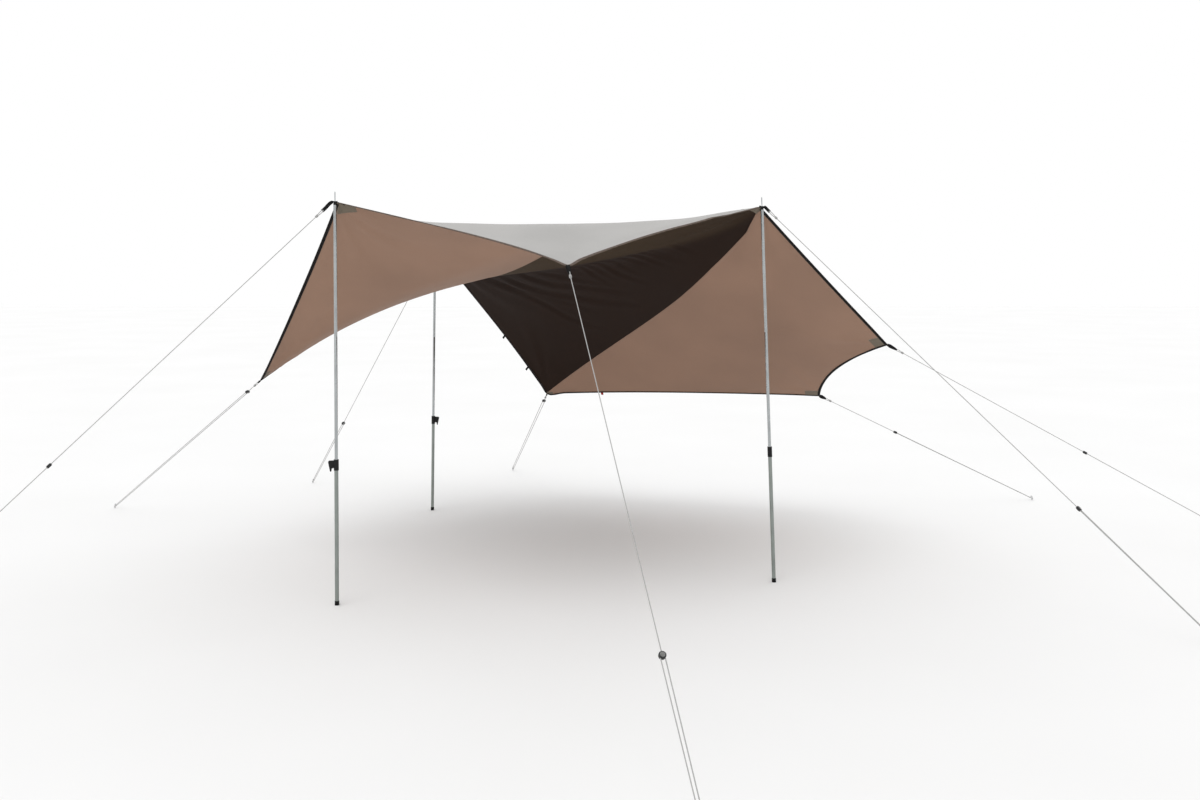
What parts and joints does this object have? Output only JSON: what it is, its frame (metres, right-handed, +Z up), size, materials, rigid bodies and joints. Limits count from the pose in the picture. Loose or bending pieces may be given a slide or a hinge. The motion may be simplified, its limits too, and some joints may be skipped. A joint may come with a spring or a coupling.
{
  "type": "camping tarp",
  "caption": "Tensioned camping tarp with a sagging ridge and low rear corners, held up by telescopic poles and staked out with guy lines",
  "frame": {"origin": "on the ground, in the middle of the box around the pitched tarp", "axes": "+X to the right along the open front, +Y to the back, +Z up"},
  "size_m": [7.2929, 6.3407, 2.0627],
  "materials": {
    "cloth_brown": "matt coated cloth, light grey above and brown below",
    "cloth_dark": "matt coated cloth, light grey above and dark brown below",
    "webbing": "matt black webbing",
    "pole_tube": "satin drawn tube",
    "peg_steel": "bright wire",
    "plastic": "black moulded plastic",
    "rubber": "matt black rubber",
    "cord": "light grey braided cord"
  },
  "bodies": {
    "tarp": {"left_panel": "cloth_brown", "middle_panel": "cloth_dark", "right_panel": "cloth_brown", "left_pole_upper": "pole_tube", "right_pole_upper": "pole_tube", "back_pole_upper": "pole_tube", "left_peak_strap": "webbing", "left_peak_cord": "cord", "left_peak_runner": "plastic", "left_peak_peg": "peg_steel", "right_peak_strap": "webbing", "right_peak_cord": "cord", "right_peak_runner": "plastic", "right_peak_peg": "peg_steel", "back_peak_strap": "webbing", "back_peak_cord": "cord", "back_peak_runner": "plastic", "back_peak_peg": "peg_steel", "front_point_strap": "webbing", "front_point_cord": "cord", "front_point_runner": "plastic", "front_point_peg": "peg_steel", "left_corner_strap": "webbing", "left_corner_cord": "cord", "left_corner_runner": "plastic", "left_corner_peg": "peg_steel", "back_corner_strap": "webbing", "back_corner_cord": "cord", "back_corner_runner": "plastic", "back_corner_peg": "peg_steel", "right_corner_strap": "webbing", "right_corner_cord": "cord", "right_corner_runner": "plastic", "right_corner_peg": "peg_steel", "far_corner_strap": "webbing", "far_corner_cord": "cord", "far_corner_runner": "plastic", "far_corner_peg": "peg_steel"},
    "left_leg": {"left_pole_lower": "pole_tube", "left_pole_clamp": "plastic", "left_pole_foot": "rubber"},
    "right_leg": {"right_pole_lower": "pole_tube", "right_pole_clamp": "plastic", "right_pole_foot": "rubber"},
    "back_leg": {"back_pole_lower": "pole_tube", "back_pole_clamp": "plastic", "back_pole_foot": "rubber"}
  },
  "joints": [
    {"name": "left_pole_slide", "type": "slide", "parent": "tarp", "child": "left_leg", "axis": [-0.006, 0.004, 1], "range_m": [0, 0.45]},
    {"name": "right_pole_slide", "type": "slide", "parent": "tarp", "child": "right_leg", "axis": [-0.0319, 0.001, 0.9995], "range_m": [0, 0.45]},
    {"name": "back_pole_slide", "type": "slide", "parent": "tarp", "child": "back_leg", "axis": [0.01, 0.0006, 0.9999], "range_m": [0, 0.38]}
  ]
}
